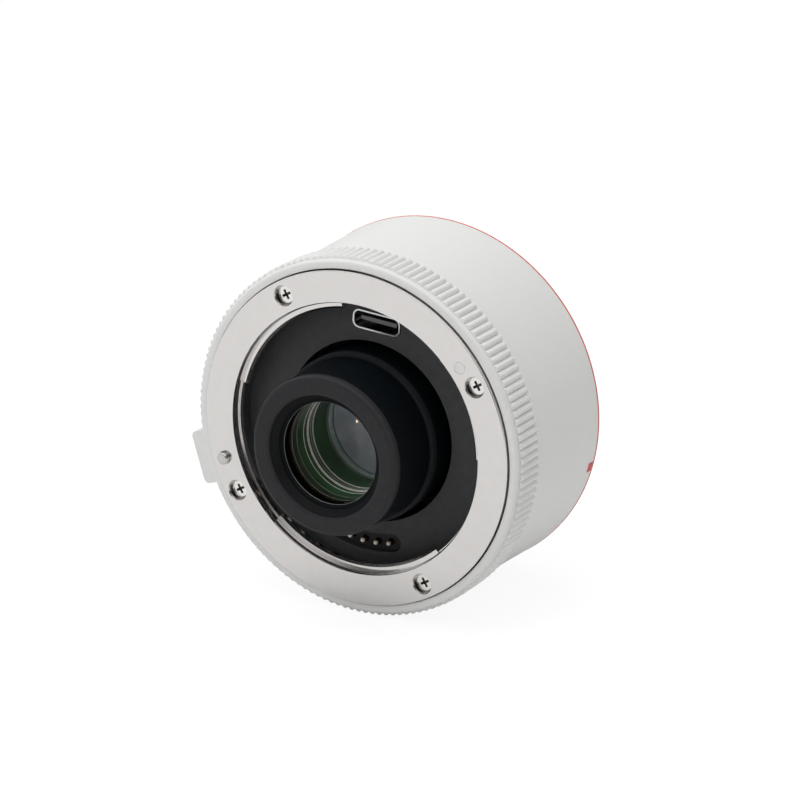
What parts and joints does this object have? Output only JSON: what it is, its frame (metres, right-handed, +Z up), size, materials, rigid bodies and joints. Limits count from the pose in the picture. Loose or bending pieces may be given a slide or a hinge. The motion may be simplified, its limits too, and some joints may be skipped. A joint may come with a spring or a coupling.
{
  "type": "camera teleconverter",
  "caption": "Short white tube with a steel bayonet socket, black lens nose, spring contacts and a release lever in front and a bayonet plug behind; goes between a camera and a lens.",
  "frame": {"origin": "centre of the camera flange, on the optical axis", "axes": "+Y along the optical axis towards the camera, +Z up, lens side at -Y"},
  "size_m": [0.0639, 0.0439, 0.0616],
  "materials": {
    "white_paint": "satin paint",
    "orange_paint": "satin paint",
    "red_enamel": "filled enamel",
    "white_enamel": "filled enamel",
    "mount_steel": "fine turned",
    "screw_steel": "bright",
    "spring_steel": "plain",
    "chassis_alloy": "bead blasted",
    "black_plastic": "fine grain",
    "black_alloy": "black anodised",
    "gilt": "gold plated",
    "socket_metal": "plated",
    "board_green": "solder mask",
    "chip_black": "moulded",
    "flex_amber": "film",
    "coated_glass": "coated"
  },
  "bodies": {
    "root": {"outer_barrel": "white_paint", "grip_ring": "white_paint", "accent_ring": "orange_paint", "index_mark": "red_enamel", "lens_index_dot": "white_enamel", "lens_mount_ring": "mount_steel", "camera_mount": "mount_steel", "lens_mount_screws": "screw_steel", "camera_mount_screws": "screw_steel", "board_screws": "screw_steel", "cell_screws": "screw_steel", "mount_leaf_spring": "spring_steel", "flange_shim": "spring_steel", "lock_spring": "spring_steel", "contact_springs": "spring_steel", "chassis": "chassis_alloy", "front_shroud": "black_plastic", "contact_holder": "black_plastic", "rear_contact_block": "black_plastic", "rear_baffle": "black_plastic", "usb_tongue": "black_plastic", "nose_front_ring": "black_alloy", "nose_barrel": "black_alloy", "front_retainer": "black_alloy", "middle_retainer": "black_alloy", "rear_lens_cell": "black_alloy", "lens_spacer": "black_alloy", "rear_group_retainer": "black_alloy", "rear_retainer": "black_alloy", "rear_contact_pads": "gilt", "usb_shell": "socket_metal", "usb_board": "board_green", "main_board": "board_green", "controller_chip": "chip_black", "front_flex": "flex_amber", "rear_flex": "flex_amber", "lens_1": "coated_glass", "lens_2": "coated_glass", "lens_3": "coated_glass", "lens_4": "coated_glass", "lens_5": "coated_glass", "lens_6": "coated_glass", "lens_7": "coated_glass", "lens_8": "coated_glass"},
    "release": {"release_lever": "white_paint", "release_slider": "chassis_alloy", "lock_pin": "mount_steel"},
    "contact_01": {"contact_pin_01": "gilt"},
    "contact_02": {"contact_pin_02": "gilt"},
    "contact_03": {"contact_pin_03": "gilt"},
    "contact_04": {"contact_pin_04": "gilt"},
    "contact_05": {"contact_pin_05": "gilt"},
    "contact_06": {"contact_pin_06": "gilt"},
    "contact_07": {"contact_pin_07": "gilt"},
    "contact_08": {"contact_pin_08": "gilt"},
    "contact_09": {"contact_pin_09": "gilt"},
    "contact_10": {"contact_pin_10": "gilt"}
  },
  "joints": [
    {"name": "release_slide", "type": "slide", "parent": "root", "child": "release", "axis": [0, 1, 0], "range_m": [0, 0.0018], "stiffness_N_per_m": 700, "springref_m": -0.002, "deforming": ["lock_spring"]},
    {"name": "contact_01_slide", "type": "slide", "parent": "root", "child": "contact_01", "axis": [0, 1, 0], "range_m": [0, 0.0008], "stiffness_N_per_m": 300, "springref_m": -0.0005, "deforming": ["contact_springs"]},
    {"name": "contact_02_slide", "type": "slide", "parent": "root", "child": "contact_02", "axis": [0, 1, 0], "range_m": [0, 0.0008], "stiffness_N_per_m": 300, "springref_m": -0.0005, "deforming": ["contact_springs"]},
    {"name": "contact_03_slide", "type": "slide", "parent": "root", "child": "contact_03", "axis": [0, 1, 0], "range_m": [0, 0.0008], "stiffness_N_per_m": 300, "springref_m": -0.0005, "deforming": ["contact_springs"]},
    {"name": "contact_04_slide", "type": "slide", "parent": "root", "child": "contact_04", "axis": [0, 1, 0], "range_m": [0, 0.0008], "stiffness_N_per_m": 300, "springref_m": -0.0005, "deforming": ["contact_springs"]},
    {"name": "contact_05_slide", "type": "slide", "parent": "root", "child": "contact_05", "axis": [0, 1, 0], "range_m": [0, 0.0008], "stiffness_N_per_m": 300, "springref_m": -0.0005, "deforming": ["contact_springs"]},
    {"name": "contact_06_slide", "type": "slide", "parent": "root", "child": "contact_06", "axis": [0, 1, 0], "range_m": [0, 0.0008], "stiffness_N_per_m": 300, "springref_m": -0.0005, "deforming": ["contact_springs"]},
    {"name": "contact_07_slide", "type": "slide", "parent": "root", "child": "contact_07", "axis": [0, 1, 0], "range_m": [0, 0.0008], "stiffness_N_per_m": 300, "springref_m": -0.0005, "deforming": ["contact_springs"]},
    {"name": "contact_08_slide", "type": "slide", "parent": "root", "child": "contact_08", "axis": [0, 1, 0], "range_m": [0, 0.0008], "stiffness_N_per_m": 300, "springref_m": -0.0005, "deforming": ["contact_springs"]},
    {"name": "contact_09_slide", "type": "slide", "parent": "root", "child": "contact_09", "axis": [0, 1, 0], "range_m": [0, 0.0008], "stiffness_N_per_m": 300, "springref_m": -0.0005, "deforming": ["contact_springs"]},
    {"name": "contact_10_slide", "type": "slide", "parent": "root", "child": "contact_10", "axis": [0, 1, 0], "range_m": [0, 0.0008], "stiffness_N_per_m": 300, "springref_m": -0.0005, "deforming": ["contact_springs"]}
  ]
}
